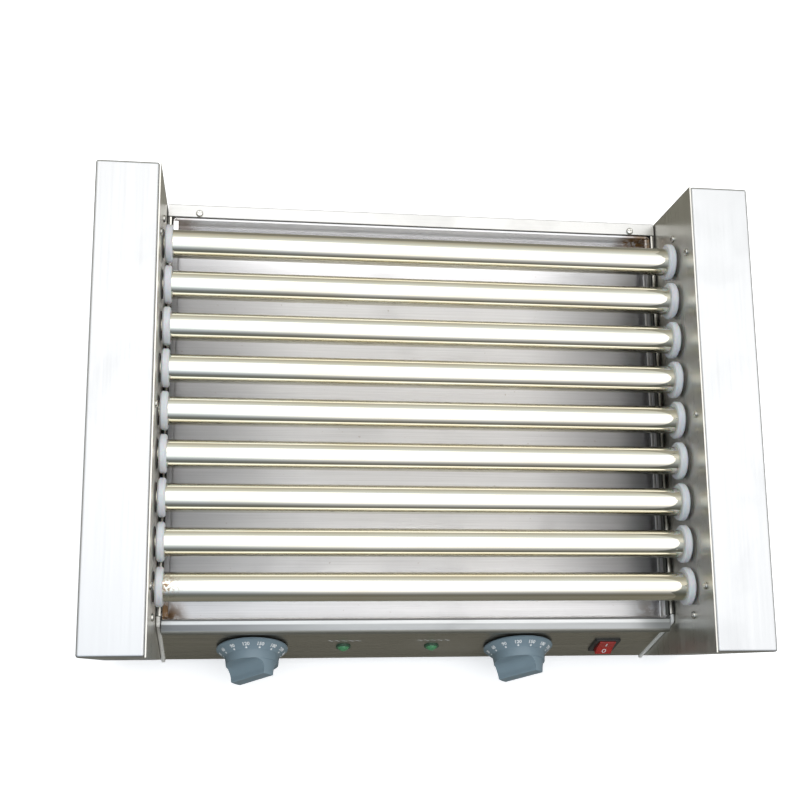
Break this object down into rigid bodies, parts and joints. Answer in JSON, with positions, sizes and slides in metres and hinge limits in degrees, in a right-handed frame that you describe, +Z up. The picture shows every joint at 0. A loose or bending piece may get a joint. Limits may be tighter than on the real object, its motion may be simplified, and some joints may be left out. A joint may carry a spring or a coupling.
{
  "type": "hot dog roller grill",
  "caption": "Countertop grill with a row of driven, heated steel rollers between two side boxes, over a pull-out drip tray, with dial knobs, lamps and a rocker switch.",
  "frame": {"origin": "on the bench, under the middle of the whole object's box", "axes": "+X to the user's right along the rollers, the controls face -Y, +Z up"},
  "size_m": [0.585, 0.4662, 0.2135],
  "materials": {
    "polished_tube": "polished",
    "white_ring": "smooth",
    "sprocket_steel": "machined",
    "bushing": "machined",
    "chain_steel": "oiled",
    "white_nylon": "moulded",
    "motor_paint": "satin",
    "heater_sheath": "heat tinted",
    "ceramic": "matt",
    "zinc_plate": "galvanised",
    "wall_steel": "brushed",
    "cover_steel": "brushed",
    "panel_steel": "brushed",
    "tray_steel": "brushed, stained",
    "knob_plastic": "satin",
    "brass_stem": "machined",
    "bakelite": "moulded",
    "lamp_bezel": "moulded",
    "green_lens": "translucent",
    "black_plastic": "moulded",
    "red_plastic": "moulded",
    "black_rubber": "matt",
    "screw_steel": "bright"
  },
  "bodies": {
    "case": {"wall_bushings": "bushing", "drive_chain": "chain_steel", "chain_guide": "white_nylon", "gear_motor": "motor_paint", "heating_elements": "heater_sheath", "heater_insulators": "ceramic", "heater_brackets": "zinc_plate", "heater_bus_bars": "zinc_plate", "left_wall": "wall_steel", "right_wall": "wall_steel", "left_cover": "cover_steel", "right_cover": "cover_steel", "base_pan": "zinc_plate", "feet": "black_rubber", "rear_panel": "panel_steel", "control_panel": "panel_steel", "tray_rails": "wall_steel", "left_thermostat": "bakelite", "right_thermostat": "bakelite", "lamp_bodies": "lamp_bezel", "lamp_lenses": "green_lens", "switch_body": "black_plastic", "case_screws": "screw_steel", "cable_gland": "black_plastic", "terminal_block": "white_nylon"},
    "roller_1": {"roller_1_tube": "polished_tube", "roller_1_rings": "white_ring", "roller_1_sprocket": "sprocket_steel"},
    "roller_2": {"roller_2_tube": "polished_tube", "roller_2_rings": "white_ring", "roller_2_sprocket": "sprocket_steel"},
    "roller_3": {"roller_3_tube": "polished_tube", "roller_3_rings": "white_ring", "roller_3_sprocket": "sprocket_steel"},
    "roller_4": {"roller_4_tube": "polished_tube", "roller_4_rings": "white_ring", "roller_4_sprocket": "sprocket_steel"},
    "roller_5": {"roller_5_tube": "polished_tube", "roller_5_rings": "white_ring", "roller_5_sprocket": "sprocket_steel"},
    "roller_6": {"roller_6_tube": "polished_tube", "roller_6_rings": "white_ring", "roller_6_sprocket": "sprocket_steel"},
    "roller_7": {"roller_7_tube": "polished_tube", "roller_7_rings": "white_ring", "roller_7_sprocket": "sprocket_steel"},
    "roller_8": {"roller_8_tube": "polished_tube", "roller_8_rings": "white_ring", "roller_8_sprocket": "sprocket_steel"},
    "roller_9": {"roller_9_tube": "polished_tube", "roller_9_rings": "white_ring", "roller_9_sprocket": "sprocket_steel"},
    "drive_shaft": {"motor_shaft": "sprocket_steel", "drive_sprocket": "sprocket_steel"},
    "left_dial": {"left_knob": "knob_plastic", "left_thermostat_stem": "brass_stem"},
    "right_dial": {"right_knob": "knob_plastic", "right_thermostat_stem": "brass_stem"},
    "power_rocker": {"switch_rocker": "red_plastic"},
    "tray": {"drip_tray": "tray_steel"}
  },
  "joints": [
    {"name": "roller_1_spin", "type": "hinge", "parent": "case", "child": "roller_1", "pos_m": [0, -0.1497, 0.164], "axis": [1, 0, 0], "continuous": true, "deforming": ["drive_chain"]},
    {"name": "roller_2_spin", "type": "hinge", "parent": "case", "child": "roller_2", "pos_m": [0, -0.1116, 0.164], "axis": [1, 0, 0], "continuous": true},
    {"name": "roller_3_spin", "type": "hinge", "parent": "case", "child": "roller_3", "pos_m": [0, -0.0735, 0.164], "axis": [1, 0, 0], "continuous": true},
    {"name": "roller_4_spin", "type": "hinge", "parent": "case", "child": "roller_4", "pos_m": [0, -0.0354, 0.164], "axis": [1, 0, 0], "continuous": true},
    {"name": "roller_5_spin", "type": "hinge", "parent": "case", "child": "roller_5", "pos_m": [0, 0.0027, 0.164], "axis": [1, 0, 0], "continuous": true},
    {"name": "roller_6_spin", "type": "hinge", "parent": "case", "child": "roller_6", "pos_m": [0, 0.0408, 0.164], "axis": [1, 0, 0], "continuous": true},
    {"name": "roller_7_spin", "type": "hinge", "parent": "case", "child": "roller_7", "pos_m": [0, 0.0789, 0.164], "axis": [1, 0, 0], "continuous": true},
    {"name": "roller_8_spin", "type": "hinge", "parent": "case", "child": "roller_8", "pos_m": [0, 0.117, 0.164], "axis": [1, 0, 0], "continuous": true},
    {"name": "roller_9_spin", "type": "hinge", "parent": "case", "child": "roller_9", "pos_m": [0, 0.1551, 0.164], "axis": [1, 0, 0], "continuous": true},
    {"name": "drive_shaft_spin", "type": "hinge", "parent": "case", "child": "drive_shaft", "pos_m": [0.25, 0.0027, 0.06047], "axis": [1, 0, 0], "continuous": true},
    {"name": "left_knob_turn", "type": "hinge", "parent": "case", "child": "left_dial", "pos_m": [-0.152, -0.19789, 0.05753], "axis": [0, -0.9534, 0.3019], "range_deg": [-118, 120]},
    {"name": "right_knob_turn", "type": "hinge", "parent": "case", "child": "right_dial", "pos_m": [0.101, -0.19789, 0.05753], "axis": [0, -0.9534, 0.3019], "range_deg": [-118, 120]},
    {"name": "power_switch_rock", "type": "hinge", "parent": "case", "child": "power_rocker", "pos_m": [0.187, -0.1936, 0.05617], "axis": [1, 0, 0], "range_deg": [0, 22]},
    {"name": "drip_tray_slide", "type": "slide", "parent": "case", "child": "tray", "axis": [0, -1, 0], "range_m": [0, 0.34]}
  ],
  "couplings": [
    {"joint": "roller_2_spin", "follows": "roller_1_spin", "ratio": 1},
    {"joint": "roller_3_spin", "follows": "roller_1_spin", "ratio": 1},
    {"joint": "roller_4_spin", "follows": "roller_1_spin", "ratio": 1},
    {"joint": "roller_5_spin", "follows": "roller_1_spin", "ratio": 1},
    {"joint": "roller_6_spin", "follows": "roller_1_spin", "ratio": 1},
    {"joint": "roller_7_spin", "follows": "roller_1_spin", "ratio": 1},
    {"joint": "roller_8_spin", "follows": "roller_1_spin", "ratio": 1},
    {"joint": "roller_9_spin", "follows": "roller_1_spin", "ratio": 1},
    {"joint": "drive_shaft_spin", "follows": "roller_1_spin", "ratio": 0.75}
  ]
}
